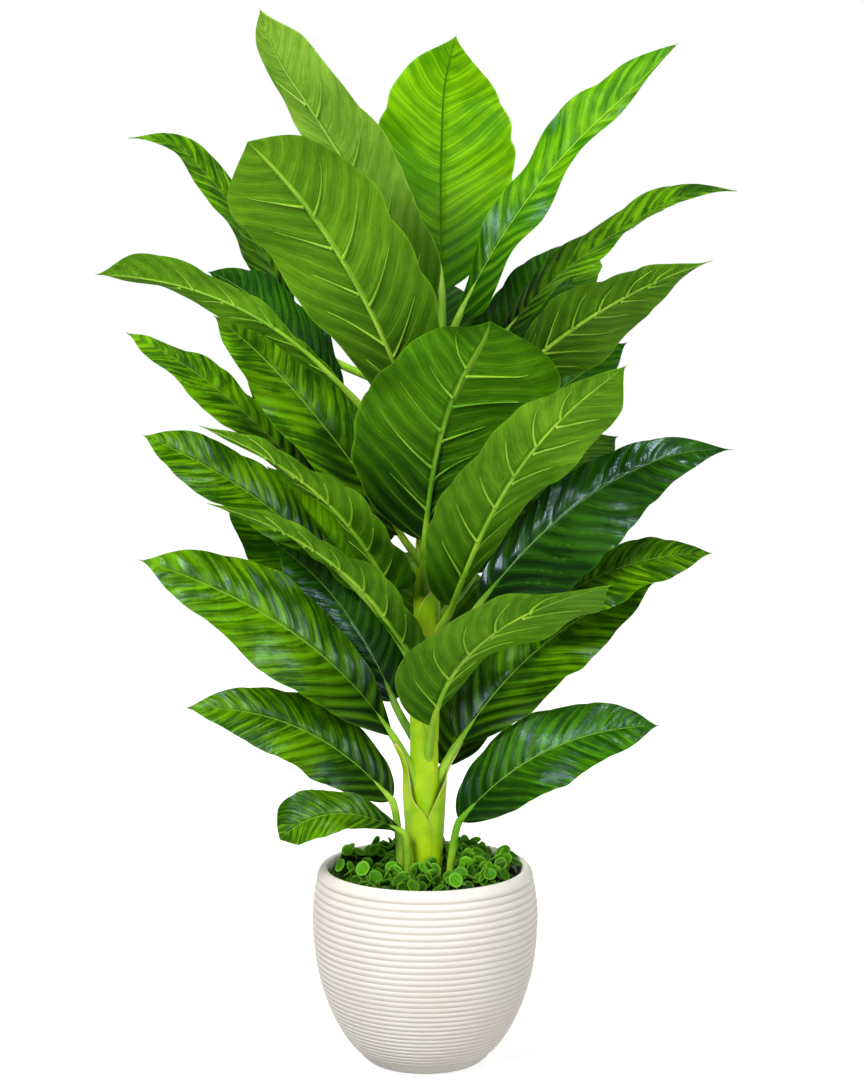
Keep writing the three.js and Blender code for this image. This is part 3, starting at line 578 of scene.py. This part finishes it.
def makeLeaf(index, leaf):
    base, crest, tip, hook = (Vector(leaf[key]) for key in ("base", "crest", "tip", "hook"))
    control = archControl(leaf)
    face = Vector(leaf["face"]).normalized()
    seed = Vector((3.7 * index, 0.9 * index, 5.3 * index))
    length = (crest - base).length + (tip - crest).length
    sweep = leafForm["sweep"] * min(1.0, 1.5 * leaf["width"] / length + 0.35)

    def midrib(s):
        bend = max(0.0, (s - leafForm["hookStart"]) / (1 - leafForm["hookStart"]))
        return base * (1 - s) ** 2 + control * (2 * s * (1 - s)) + tip * s * s + hook * bend * bend

    @functools.lru_cache(maxsize=None)
    def frameAt(s):
        slope = (midrib(min(s + 0.002, 1)) - midrib(max(s - 0.002, 0))).normalized()
        normal = (face - slope * face.dot(slope)).normalized()
        return slope, normal, slope.cross(normal).normalized()

    # width of the half on v's side, as a share of the blade's full half width
    def halfShare(v, s):
        uneven = (leaf["lean"] + leaf["skew"] * (s - 0.5)) * math.copysign(1, v)
        return bladeOutline(leaf, s) * max(0.1, 1 + uneven)

    # number of side veins passed by s, less the sweep of a vein towards the tip
    def veinCount(v, s):
        wander = leafForm["wander"] * noise.noise(Vector((s * 6, 0.8 * v, 0)) + seed)
        return leafForm["veins"] * (s - sweep * min(1, halfShare(v, s)) * abs(v) ** 1.25) + wander

    # the same for the few thick veins that stand out underneath: a whole number on each of them
    def wireCount(v, s):
        passed = (s - sweep * abs(v) ** 1.25 - leafForm["firstWire"]) / leafForm["wireSpan"]
        return leaf["wires"] * passed - (0.25 if v > 0 else 0)

    # fold and curl shape the halves and ruffles run along the margins. the blade bulges between its thick
    # veins, with scallops where they reach the margin, and soft uneven pleats lie between the fine ones
    def surface(v, s):
        outline = bladeOutline(leaf, s)
        reach = max(leaf["width"] / 2 * halfShare(v, s), 0.1)
        bulge = abs(math.sin(math.pi * wireCount(v, s)))
        ragged = noise.noise(Vector((0.7 * v, 13 * s, 9)) + seed)
        reach *= 1 + (leafForm["ragged"] * ragged + leafForm["scallop"] * (bulge - 0.6)) * abs(v) ** 2
        normal, side = frameAt(s)[1:]
        ruffle = math.sin(s * leaf["waves"] + leaf["phase"] + (1.3 if v > 0 else 0))
        lift = reach * (leaf["fold"] * abs(v) - leaf["curl"] * v * v)
        lift += leaf["wave"] * v * v * ruffle * outline
        relief = outline * min(1, 3 * abs(v)) * min(1, abs(reach) / leafForm["narrow"])
        lift += relief * leaf["quilt"] * bulge * (0.8 + 0.8 * noise.noise(Vector((v, 4 * s, 7)) + seed))
        lift += relief * leafForm["lumps"] * noise.noise(Vector((1.4 * v, 8 * s, 0)) + seed) * abs(v)
        depth = leaf["pleat"] * (1.0 + 1.8 * noise.noise(Vector((1.1 * v, 7 * s, 4)) + seed))
        lift -= relief * depth * math.cos(2 * math.pi * veinCount(v, s)) * (1 - abs(v) ** 6)
        groove = math.exp(-(v * reach / leafForm["grooveWidth"]) ** 2)
        lift -= leafForm["groove"] * groove * outline * (1 - s)
        return midrib(s) + side * (reach * v) + normal * lift

    # a ring of points runs over the upper side from margin to margin and back underneath, closed at the ends
    def placeAcross(column):
        v = 4 * column - 1 if column <= 0.5 else 3 - 4 * column
        return math.copysign(abs(v) ** 1.15, v)

    def bladePoint(column, row):
        if row in (0.0, 1.0):
            return midrib(row)
        v = placeAcross(column)
        if column <= 0.5:
            return surface(v, row)
        slant = surface(min(v + 0.03, 1), row) - surface(max(v - 0.03, -1), row)
        below = frameAt(row)[0].cross(slant).normalized()
        return surface(v, row) + below * (leafForm["thickness"] * (1 - abs(v) ** 12))

    def bladeChart(column, row):
        v = placeAcross(column)
        across = 0.4 * abs(v) * halfShare(v, row)
        count = veinCount(v, row) + leafForm["mapSpacing"] * index
        return (abs(v), row), (count, across + (9 if v > 0 else 0))

    def tubeChart(column, row):
        return (column, 0.9 * row), (column, row)

    bm = leafMesh()
    shapedGrid(
        bm, leafForm["columns"], leafForm["rows"], bladePoint, bladeChart, lambda column: int(column > 0.5)
    )
    for edge in bm.edges:  # a crisp margin where the upper side meets the underside
        edge.smooth = len({face.material_index for face in edge.link_faces}) == 1

    # stalk and midrib: one rod from the cane or the soil, up the stalk and along the underside to the tip
    stalk = stalkCurve(leaf)
    stalkShare, ribTip = leafForm["stalkShare"], leafForm["ribTip"]

    def rodPoint(column, row):
        angle = -2 * math.pi * column
        if row < stalkShare:
            t = row / stalkShare
            centre = cubic(*stalk, t)
            if isinstance(leaf["root"], list) and t < leafForm["pegShare"]:
                centre = stalk[0] - Vector((0, 0, leafForm["pegDepth"] * (1 - t / leafForm["pegShare"])))
            slope = (cubic(*stalk, min(t + 0.02, 1)) - cubic(*stalk, max(t - 0.02, 0))).normalized()
            normal = (face - slope * face.dot(slope)).normalized()
            side = slope.cross(normal).normalized()
            radius = stalkRadius(leaf, t)
        else:
            s = (row - stalkShare) / (1 - stalkShare) * leafForm["ribEnd"]
            slope, normal, side = frameAt(s)
            narrowing = (1 - s) ** 1.25 * (1 - 0.25 * min(1, 8 * s))
            radius = ribTip + (leafForm["neckRadius"] - ribTip) * narrowing
            centre = midrib(s) - normal * ((radius + ribTip) * min(1, 8 * s))
        if row in (0.0, 1.0):
            radius = 0
        return centre + (side * math.cos(angle) + normal * (0.9 * math.sin(angle))) * radius

    shapedGrid(bm, 12, 72, rodPoint, tubeChart, lambda column: 2)

    # raised side veins on the underside: tapering wires that leave the midrib and stop short of the margin
    for k in range(leaf["wires"]):
        for half in (-1, 1):
            passed = (k + (0.25 if half > 0 else 0)) / leaf["wires"]
            start = leafForm["firstWire"] + leafForm["wireSpan"] * passed
            end = leafForm["wireEnd"] * (0.95 + 0.4 * noise.noise(Vector((7 * start, half, 2)) + seed))

            def wirePoint(column, row, start=start, half=half, end=end):
                row = row ** 1.4
                v = half * (end * row + 0.001)
                s = start + sweep * abs(v) ** 1.25
                here = surface(v, s)
                rowWise = surface(v, s + 0.01) - here
                slope = (surface(v + 0.02 * half, s + 0.4 * sweep * 0.02) - here).normalized()
                normal = (rowWise.cross(slope) * -half).normalized()
                if normal.dot(frameAt(s)[1]) < 0:
                    normal = -normal
                radius = leafForm["wireRadius"] * (1 - row) + leafForm["wireRoot"] * math.exp(-14 * row)
                radius = (radius + leafForm["wireTip"]) * (1 - 0.5 * min(1, leaf["pleat"]))
                radius *= min(1, 5 * (1 - s), 2.5 * halfShare(v, s))
                if row in (0.0, 1.0):
                    radius = 0
                angle = 2 * math.pi * column * half
                side = slope.cross(normal).normalized() * half
                depth = max(leafForm["thickness"] + 0.5 * radius, radius + 0.4 + 0.7 * leaf["pleat"])
                middle = here - normal * depth
                return middle + (side * math.cos(angle) + normal * math.sin(angle)) * radius

            shapedGrid(bm, 6, 16, wirePoint, tubeChart, lambda column: 2)
    newPiece(leaf["name"] + "_blade", bm, skins[leaf["tone"]], [leaf["name"]])


for index, leaf in enumerate(leaves):
    makeLeaf(index, leaf)
print("leaves made:", len(leaves))


# how far a leaf's stalk reaches out from the middle of the cane at a height, in one direction
def stalkReach(leaf, z, angle):
    t = min((i / 40 for i in range(41)), key=lambda t: abs(cubic(*stalkCurve(leaf), t).z - z))
    offset = cubic(*stalkCurve(leaf), t) - caneCentre(z)
    ahead = offset.x * math.cos(angle) + offset.y * math.sin(angle)
    aside = offset.x * math.sin(angle) - offset.y * math.cos(angle)
    radius = stalkRadius(leaf, t) + 1.2
    return ahead + math.sqrt(radius ** 2 - aside ** 2) if abs(aside) < radius else 0


# cane: a smooth tapering core in slanted leaf sheaths with thin papery rims
def makeCane():
    bm = leafMesh()
    foot, top = cane["line"][0][2], cane["line"][-1][2]

    def corePoint(column, row):
        z = foot + (top - foot) * row
        angle = 2 * math.pi * column
        bumps = 1 + cane["bumps"] * noise.noise(Vector((math.cos(angle), math.sin(angle), 0.02 * z)))
        radius = 0 if row in (0.0, 1.0) else caneRadius(z) * bumps
        return caneCentre(z) + Vector((radius * math.cos(angle), radius * math.sin(angle), 0))

    shapedGrid(bm, *cane["coreGrid"], corePoint, lambda column, row: ((column, 0.9 * row), (column, row)))
    for low, length, direction, standOff, leafName, reach in cane["sheaths"]:
        heading = math.radians(direction)
        wrapped = [leaf for leaf in leaves if leaf["name"] == "leaf_" + leafName]

        def sheathPoint(column, row):
            angle = 2 * math.pi * column
            facing = math.cos(angle - heading)
            z = low + (length * (0.6 + 0.4 * facing) + reach * max(0, facing) ** 24) * row
            radius = caneRadius(z) + 0.4 + standOff * row ** 0.8 * (0.3 + 0.7 * max(0, facing))
            for leaf in wrapped:
                radius = max(radius, stalkReach(leaf, z, angle))
            return caneCentre(z) + Vector((radius * math.cos(angle), radius * math.sin(angle), 0))

        wrap = shapedGrid(
            bm, *cane["sheathGrid"], sheathPoint, lambda column, row: ((column, row), (column, row))
        )
        geometry = [face for face in wrap if face.is_valid]
        bmesh.ops.solidify(bm, geom=geometry, thickness=cane["sheathThickness"] * mm)
    for face in bm.faces:
        face.smooth = True
    newPiece("cane_sheathed", bm, [stemSkin("greenCaneSheath", cane["look"])], ["cane"])


makeCane()
print("cane made")

# pot: turned stoneware with rounded horizontal ribs that are closer together towards the foot
pot = {
    "foot": [(0, 0), (56, 0), (59, 0.5), (60.8, 1.6), (63.4, 4), (66.4, 6.6)],
    "wall": [
        (60, 0), (66, 6), (80, 22), (91, 40), (102.5, 67), (111.5, 103), (115, 147), (113, 175), (110, 190),
    ],
    "lip": [
        (107.5, 197), (106, 199.4), (104, 200.6), (102, 200.8), (100.4, 200), (99.4, 198), (98.6, 194),
    ],
    "inside": [(98, 168), (104, 145), (101, 105), (88, 55), (69, 22), (56, 12), (0, 12)],
    "shoulder": [(110, 192), (109.2, 194.5)], "ribSteps": 6,
    "ribs": 31, "firstRib": 12, "lastRib": 191, "ribDepth": 1.4, "footPitch": 0.68, "steps": 112,
    # groove is the colour of the painted shade in the sunk grooves between ribs
    "glaze": "#e3dfd6", "warm": "#dcd6ca", "groove": "#b6ac9b",
}


# wall radius at a height, on a smooth curve through the wall's points
def wallRadius(z):
    wall = pot["wall"]
    k = max(i for i, point in enumerate(wall[:-1]) if point[1] <= z or i == 0)
    before, low, high, after = wall[max(k - 1, 0)], wall[k], wall[k + 1], wall[min(k + 2, len(wall) - 1)]
    span = high[1] - low[1]
    t = (z - low[1]) / span
    slopeLow = (high[0] - before[0]) / max(1, high[1] - before[1]) * span
    slopeHigh = (after[0] - low[0]) / max(1, after[1] - low[1]) * span
    return ((2 * t ** 3 - 3 * t ** 2 + 1) * low[0] + (t ** 3 - 2 * t ** 2 + t) * slopeLow
            + (3 * t ** 2 - 2 * t ** 3) * high[0] + (t ** 3 - t ** 2) * slopeHigh)


def potProfile():
    points = list(pot["foot"])
    z = pot["firstRib"]
    pitch = (pot["lastRib"] - z) / pot["ribs"]
    for i in range(pot["ribs"]):
        rib = pitch * (pot["footPitch"] + 2 * (1 - pot["footPitch"]) * i / pot["ribs"])
        for k in range(pot["ribSteps"]):
            rise = math.sin(math.pi * k / pot["ribSteps"]) ** 0.7
            height = z + rib * k / pot["ribSteps"]
            points.append((wallRadius(height) - pot["ribDepth"] * (1 - rise), height))
        z += rib
    points += [(wallRadius(z) - pot["ribDepth"], z), (wallRadius(z + 1.2) - 0.2, z + 1.2)]
    return points + pot["shoulder"] + pot["lip"] + pot["inside"]


# matt off-white glaze on stoneware: soft even sheen, a slightly warmer body, and painted shade in the
# grooves
def potSkin():
    material, tree = newMaterial("mattGlazedStoneware")
    place = addNode(tree, "ShaderNodeTexCoord").outputs["Object"]
    cloud = addNode(tree, "ShaderNodeTexNoise", {
        "Vector": place, "Scale": 9.0, "Detail": 3.0,
    }).outputs[0]
    grit = addNode(tree, "ShaderNodeTexNoise", {
        "Vector": place, "Scale": 900.0, "Detail": 2.0,
    }).outputs[0]
    tint = addNode(tree, "ShaderNodeMapRange", {
        "Value": cloud, "From Min": 0.35, "From Max": 0.7,
    }).outputs[0]
    body = addNode(tree, "ShaderNodeMix", {
        "Factor": tint, 6: pot["glaze"], 7: pot["warm"],
    }, data_type="RGBA").outputs[2]
    # painted shade: the deeper a point sits in a groove, the more it is darkened toward the groove colour
    ribMap = addNode(tree, "ShaderNodeUVMap", uv_map="ribs").outputs[0]
    depth = addNode(tree, "ShaderNodeSeparateXYZ", {0: ribMap}).outputs[1]
    body = addNode(tree, "ShaderNodeMix", {
        "Factor": depth, 6: body, 7: pot["groove"],
    }, data_type="RGBA").outputs[2]
    bump = addNode(tree, "ShaderNodeBump", {
        "Height": grit, "Strength": 0.25, "Distance": 0.2 * mm,
    }).outputs[0]
    skin = addNode(tree, "ShaderNodeBsdfPrincipled", {
        "Base Color": body, "Normal": bump, "Roughness": 0.5, "IOR": 1.5,
    }).outputs[0]
    addNode(tree, "ShaderNodeOutputMaterial", {0: skin})
    return material


def makePot():
    bm = bmesh.new()
    verts = [bm.verts.new((r * mm, 0, z * mm)) for r, z in potProfile()]
    edges = [bm.edges.new(pair) for pair in zip(verts, verts[1:])]
    bmesh.ops.spin(
        bm, geom=verts + edges, cent=(0, 0, 0), axis=(0, 0, 1), angle=2 * math.pi, steps=pot["steps"],
        use_merge=True,
    )
    bmesh.ops.remove_doubles(bm, verts=bm.verts[:], dist=1e-6)
    bmesh.ops.recalc_face_normals(bm, faces=bm.faces[:])
    # the map's y is how deep a point sits in a groove, which sets the painted shade there
    layer = bm.loops.layers.uv.new("ribs")
    for face in bm.faces:
        face.smooth = True
        for loop in face.loops:
            x, y, z = loop.vert.co / mm
            ribbed = pot["firstRib"] < z < pot["lastRib"] and math.hypot(x, y) > pot["wall"][0][0]
            sunk = wallRadius(z) - math.hypot(x, y) if ribbed else 0
            loop[layer].uv = (z / 200, min(1, max(0, sunk / pot["ribDepth"])) ** 2 * 0.6)
    newPiece("pot_ribbed", bm, [potSkin()], ["pot"])


makePot()
print("pot made")


soilLook = {"dark": "#17120c", "light": "#3a2c1d", "crumbScale": 320.0, "relief": 2}


# potting mix: dark, rough and crumbly, and only glimpsed between the cover leaves
def soilSkin():
    material, tree = newMaterial("darkPottingSoil")
    place = addNode(tree, "ShaderNodeTexCoord").outputs["Object"]
    crumb = addNode(tree, "ShaderNodeTexNoise", {
        "Vector": place, "Scale": soilLook["crumbScale"], "Detail": 5.0,
    }).outputs[0]
    lump = addNode(tree, "ShaderNodeMapRange", {
        "Value": crumb, "From Min": 0.35, "From Max": 0.65,
    }).outputs[0]
    body = addNode(tree, "ShaderNodeMix", {
        "Factor": lump, 6: soilLook["dark"], 7: soilLook["light"],
    }, data_type="RGBA").outputs[2]
    bump = addNode(tree, "ShaderNodeBump", {
        "Height": crumb, "Strength": 1.0, "Distance": soilLook["relief"] * mm,
    }).outputs[0]
    skin = addNode(tree, "ShaderNodeBsdfPrincipled", {
        "Base Color": body, "Normal": bump, "Roughness": 0.9,
    }).outputs[0]
    addNode(tree, "ShaderNodeOutputMaterial", {0: skin})
    return material


# ground cover: sprigs of small cupped leaves, packed over the soil right up to the pot's rim
cover = {
    "sprigs": 180, "reach": 92.0, "leavesEach": (3, 5), "smallest": 6.2, "largest": 9.2,
    "ground": 182.0,
    "lift": (6.0, 27.0), "tilt": (0.45, 1.3), "cup": 0.36, "caneClear": 20.0, "stalkClear": 9.0,
    "opening": 98.0,
    "seed": 7, "turn": 2.4, "layerDrop": 3.0, "thickness": 0.45, "through": 0.15,
    # deep is the painted shade colour that the lower leaves darken toward
    "deep": "#051a01", "fresh": "#5aa612", "rim": "#86c83a",
}


# plump glossy leaf with a paler rim; the map's x runs from its middle to its rim, y is its brightness: a
# random tone with painted shade on the lower leaves
def coverSkin():
    material, tree = newMaterial("smallRoundLeaf")
    blade = addNode(tree, "ShaderNodeUVMap", uv_map="blade").outputs[0]
    outward, shade, _ = addNode(tree, "ShaderNodeSeparateXYZ", {0: blade}).outputs
    # painted shade: each leaf is mixed from the deep shade colour to the fresh green by its brightness
    body = addNode(tree, "ShaderNodeMix", {
        "Factor": shade, 6: cover["deep"], 7: cover["fresh"],
    }, data_type="RGBA").outputs[2]
    rim = addNode(tree, "ShaderNodeMapRange", {
        "Value": outward, "From Min": 0.7, "From Max": 1.0, "To Max": 0.9,
    }).outputs[0]
    # the paler rim is scaled by the same brightness, so it fades on leaves in painted shade
    rim = addNode(tree, "ShaderNodeMath", {
        0: rim, 1: shade,
    }, operation="MULTIPLY", use_clamp=True).outputs[0]
    body = addNode(tree, "ShaderNodeMix", {
        "Factor": rim, 6: body, 7: cover["rim"],
    }, data_type="RGBA").outputs[2]
    skin = addNode(tree, "ShaderNodeBsdfPrincipled", {
        "Base Color": body, "Roughness": 0.42, "IOR": 1.45, "Specular IOR Level": 0.25,
    }).outputs[0]
    through = addNode(tree, "ShaderNodeBsdfTranslucent", {"Color": body}).outputs[0]
    mixed = addNode(tree, "ShaderNodeMixShader", {0: cover["through"], 1: skin, 2: through}).outputs[0]
    addNode(tree, "ShaderNodeOutputMaterial", {0: mixed})
    return material


def makeCover():
    rng = random.Random(cover["seed"])
    bm = leafMesh()
    stalks = [Vector(leaf["root"]).to_2d() for leaf in leaves if isinstance(leaf["root"], list)]
    for i in range(cover["sprigs"]):
        distance = cover["reach"] * ((i + 0.5) / cover["sprigs"]) ** 0.46
        angle = cover["turn"] * i + rng.uniform(-0.25, 0.25)
        spot = Vector((distance * math.cos(angle), distance * math.sin(angle)))
        height = cover["ground"] + rng.uniform(*cover["lift"])
        turn = rng.uniform(0, 2 * math.pi)
        count = rng.randint(*cover["leavesEach"])
        if spot.length < cover["caneClear"] or any((spot - s).length < cover["stalkClear"] for s in stalks):
            continue
        for k in range(count):
            around = turn + 2 * math.pi * k / count + rng.uniform(-0.3, 0.3)
            size = rng.uniform(cover["smallest"], cover["largest"])
            tilt = rng.uniform(*cover["tilt"])
            # painted shade: leaves lower in the carpet and lower in their sprig are darker, on top of a
            # random tone
            light = ((height - cover["ground"]) / cover["lift"][1]) ** 1.9
            shade = rng.uniform(0.5, 1.3) * (1 - 0.9 * k / count) * light
            heading = Vector((math.cos(around), math.sin(around), 0))
            up = Vector((0, 0, 1)) * math.cos(tilt) + heading * math.sin(tilt)
            side = heading.cross(up).normalized()
            out = up.cross(side).normalized()
            centre = Vector((spot.x, spot.y, height - cover["layerDrop"] * k)) + heading * (0.7 * size)
            centre.xy *= min(1, (cover["opening"] - 0.8 * size) / centre.xy.length)

            # a square patch drawn in to a round, cupped leaf
            def leafPoint(column, row, centre=centre, out=out, side=side, up=up, size=size):
                x, y = 2 * column - 1, 2 * row - 1
                ring = max(abs(x), abs(y))
                shrink = ring / (math.hypot(x, y) or 1)
                x, y = x * shrink, y * shrink * 0.94
                rise = cover["cup"] * ring * ring - 0.1 * abs(y)
                return centre + (out * x + side * y + up * rise) * size

            def leafChart(column, row, shade=shade):
                return (max(abs(2 * column - 1), abs(2 * row - 1)), shade), (column, row)

            shapedGrid(bm, 6, 6, leafPoint, leafChart)
    piece = newPiece("ground_cover_leaves", bm, [coverSkin()], ["ground_cover"])
    body = piece.modifiers.new("body", "SOLIDIFY")
    body.thickness = cover["thickness"] * mm
    body.offset = 0


makeCover()
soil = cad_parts["soil"]
soil.data.materials.clear()
soil.data.materials.append(soilSkin())
print("soil and ground cover made")

# plain pale floor that runs out into the white background
stage = {"half": 8.0, "drop": 0.5, "colour": "#8c8c8c", "nearGlow": 0.82, "farGlow": 1.0, "bounce": 0.28}


def makeStage():
    bm = bmesh.new()
    bmesh.ops.create_grid(bm, x_segments=1, y_segments=1, size=stage["half"])
    mesh = bpy.data.meshes.new("floor")
    bm.to_mesh(mesh)
    bm.free()
    mesh.transform(Matrix.Translation((0, 0, -stage["drop"] * mm)))
    floor = bpy.data.objects.new("floor", mesh)
    material, tree = newMaterial("whiteStudioFloor")
    # the paper sweep is lit to white for the camera, a little less so near the pot with its faint shadow
    place = addNode(tree, "ShaderNodeTexCoord").outputs["Object"]
    distance = addNode(tree, "ShaderNodeVectorMath", {0: place}, operation="LENGTH").outputs["Value"]
    glow = addNode(tree, "ShaderNodeMapRange", {
        "Value": distance, "From Min": 0.15, "From Max": 0.8, "To Min": stage["nearGlow"],
        "To Max": stage["farGlow"],
    }).outputs[0]
    seen = addNode(tree, "ShaderNodeLightPath").outputs["Is Camera Ray"]
    strength = addNode(tree, "ShaderNodeMix", {"Factor": seen, 2: stage["bounce"], 3: glow}).outputs[0]
    skin = addNode(tree, "ShaderNodeBsdfPrincipled", {
        "Base Color": stage["colour"], "Roughness": 0.9, "Emission Color": "#ffffff",
        "Emission Strength": strength,
    }).outputs[0]
    addNode(tree, "ShaderNodeOutputMaterial", {0: skin})
    mesh.materials.append(material)
    bpy.context.scene.collection.objects.link(floor)


# soft boxes round the plant: place, power in watts, size in metres, and whether they only glint on the wax
lights = {
    "key": ((-1.3, -2.0, 2.1), 84, 1.0, False),
    "overhead": ((-0.4, -0.3, 2.3), 30, 0.8, False),
    "fill": ((1.9, -1.8, 0.8), 33, 1.4, False),
    "backLeft": ((-1.3, 1.6, 1.7), 24, 0.9, False),
    "backRight": ((1.3, 1.6, 1.5), 24, 0.9, False),
    "glintLeft": ((-0.6, -2.1, 2.1), 26, 0.4, True),
    "glintRight": ((1.1, -2.0, 1.9), 18, 0.4, True),
}
glintColour = "#cfe4ff"
lampAim = (0, 0, 0.6)
skyLight = 0.12


def makeLights():
    for name, (spot, power, size, glints) in lights.items():
        data = bpy.data.lights.new(name, "AREA")
        data.energy = power
        data.size = size
        if glints:
            data.color = linear(glintColour)[:3]
        lamp = bpy.data.objects.new(name, data)
        lamp.location = spot
        lamp.visible_glossy = glints
        lamp.visible_diffuse = not glints
        lamp.visible_transmission = not glints
        lamp.rotation_euler = (Vector(lampAim) - lamp.location).to_track_quat("-Z", "Y").to_euler()
        bpy.context.scene.collection.objects.link(lamp)
    world = bpy.data.worlds.new("studio")
    world.use_nodes = True
    tree = world.node_tree
    tree.nodes.clear()
    path = addNode(tree, "ShaderNodeLightPath").outputs["Is Camera Ray"]
    strength = addNode(tree, "ShaderNodeMapRange", {
        "Value": path, "To Min": skyLight, "To Max": 1.0,
    }).outputs[0]
    sky = addNode(tree, "ShaderNodeBackground", {"Strength": strength, "Color": "#ffffff"}).outputs[0]
    addNode(tree, "ShaderNodeOutputWorld", {0: sky})
    bpy.context.scene.world = world


# the photo's view: place in metres, degrees down from level, and lens and sensor in millimetres
photoView = {"place": (0.007, -2.5, 0.85), "tilt": 7.2, "lens": 83.83, "sensor": 36}


def makeCamera():
    data = bpy.data.cameras.new("photoCamera")
    data.lens = photoView["lens"]
    data.sensor_width = photoView["sensor"]
    camera = bpy.data.objects.new("photoCamera", data)
    camera.location = photoView["place"]
    camera.rotation_euler = (math.radians(90 - photoView["tilt"]), 0, 0)
    bpy.context.scene.collection.objects.link(camera)
    bpy.context.scene.camera = camera


makeStage()
makeLights()
makeCamera()
bpy.context.scene.view_settings.view_transform = "Standard"
print("stage, lights and camera made")

bpy.context.view_layer.update()
